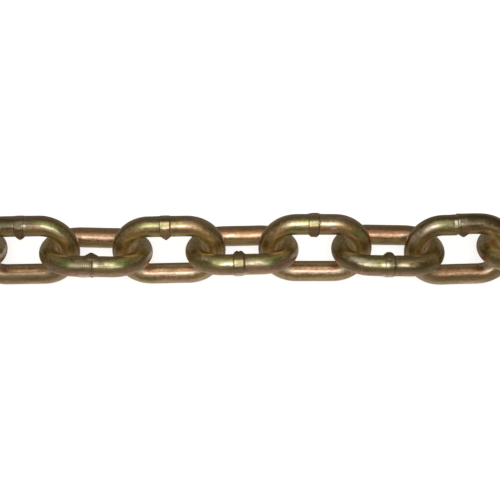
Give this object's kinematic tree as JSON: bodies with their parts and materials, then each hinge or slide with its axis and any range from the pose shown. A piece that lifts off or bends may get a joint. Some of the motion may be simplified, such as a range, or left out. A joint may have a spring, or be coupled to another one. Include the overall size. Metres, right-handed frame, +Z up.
{
  "type": "length of steel chain",
  "caption": "Straight length of short-link welded steel chain with a yellow chromate finish; each link turns on the next.",
  "frame": {"origin": "on the floor under the middle of the chain", "axes": "+X along the chain from link_01 to link_12, +Y level across it, +Z up"},
  "size_m": [0.314, 0.0227, 0.0215],
  "materials": {
    "yellow_chromate_steel": "zinc plate with yellow chromate, fairly glossy, with die marks and light scuffs"
  },
  "bodies": {
    "link_01": {"link_01": "yellow_chromate_steel"},
    "link_02": {"link_02": "yellow_chromate_steel"},
    "link_03": {"link_03": "yellow_chromate_steel"},
    "link_04": {"link_04": "yellow_chromate_steel"},
    "link_05": {"link_05": "yellow_chromate_steel"},
    "link_06": {"link_06": "yellow_chromate_steel"},
    "link_07": {"link_07": "yellow_chromate_steel"},
    "link_08": {"link_08": "yellow_chromate_steel"},
    "link_09": {"link_09": "yellow_chromate_steel"},
    "link_10": {"link_10": "yellow_chromate_steel"},
    "link_11": {"link_11": "yellow_chromate_steel"},
    "link_12": {"link_12": "yellow_chromate_steel"}
  },
  "joints": [
    {"name": "link_01_to_link_02", "type": "hinge", "parent": "link_01", "child": "link_02", "pos_m": [-0.12139, 0, 0.01033], "axis": [0, 0.7071, 0.7071], "range_deg": [-110, 110]},
    {"name": "link_02_to_link_03", "type": "hinge", "parent": "link_02", "child": "link_03", "pos_m": [-0.09639, -0.00044, 0.01039], "axis": [-0.0061, -0.7009, 0.7133], "range_deg": [-110, 110]},
    {"name": "link_03_to_link_04", "type": "hinge", "parent": "link_03", "child": "link_04", "pos_m": [-0.0714, 0.00011, 0.01033], "axis": [0.0136, -0.707, -0.7071], "range_deg": [-110, 110]},
    {"name": "link_04_to_link_05", "type": "hinge", "parent": "link_04", "child": "link_05", "pos_m": [-0.0464, -0.00107, 0.01046], "axis": [0.0158, 0.6945, -0.7193], "range_deg": [-110, 110]},
    {"name": "link_05_to_link_06", "type": "hinge", "parent": "link_05", "child": "link_06", "pos_m": [-0.0214, 0.00024, 0.01057], "axis": [-0.0143, 0.6831, 0.7302], "range_deg": [-110, 110]},
    {"name": "link_06_to_link_07", "type": "hinge", "parent": "link_06", "child": "link_07", "pos_m": [0.0036, 0.00037, 0.01047], "axis": [0.0157, -0.6932, 0.7206], "range_deg": [-110, 110]},
    {"name": "link_07_to_link_08", "type": "hinge", "parent": "link_07", "child": "link_08", "pos_m": [0.02861, 0.0006, 0.01058], "axis": [0, -0.682, -0.7314], "range_deg": [-110, 110]},
    {"name": "link_08_to_link_09", "type": "hinge", "parent": "link_08", "child": "link_09", "pos_m": [0.0536, -0.00028, 0.01014], "axis": [0.0127, 0.7277, -0.6858], "range_deg": [-110, 110]},
    {"name": "link_09_to_link_10", "type": "hinge", "parent": "link_09", "child": "link_10", "pos_m": [0.0786, 0.00068, 0.00993], "axis": [-0.0223, 0.7498, 0.6613], "range_deg": [-110, 110]},
    {"name": "link_10_to_link_11", "type": "hinge", "parent": "link_10", "child": "link_11", "pos_m": [0.1036, 0.00012, 0.01027], "axis": [-0.0124, -0.7131, 0.7009], "range_deg": [-110, 110]},
    {"name": "link_11_to_link_12", "type": "hinge", "parent": "link_11", "child": "link_12", "pos_m": [0.12861, 0.00021, 0.01039], "axis": [0.0049, -0.7009, -0.7133], "range_deg": [-110, 110]}
  ]
}
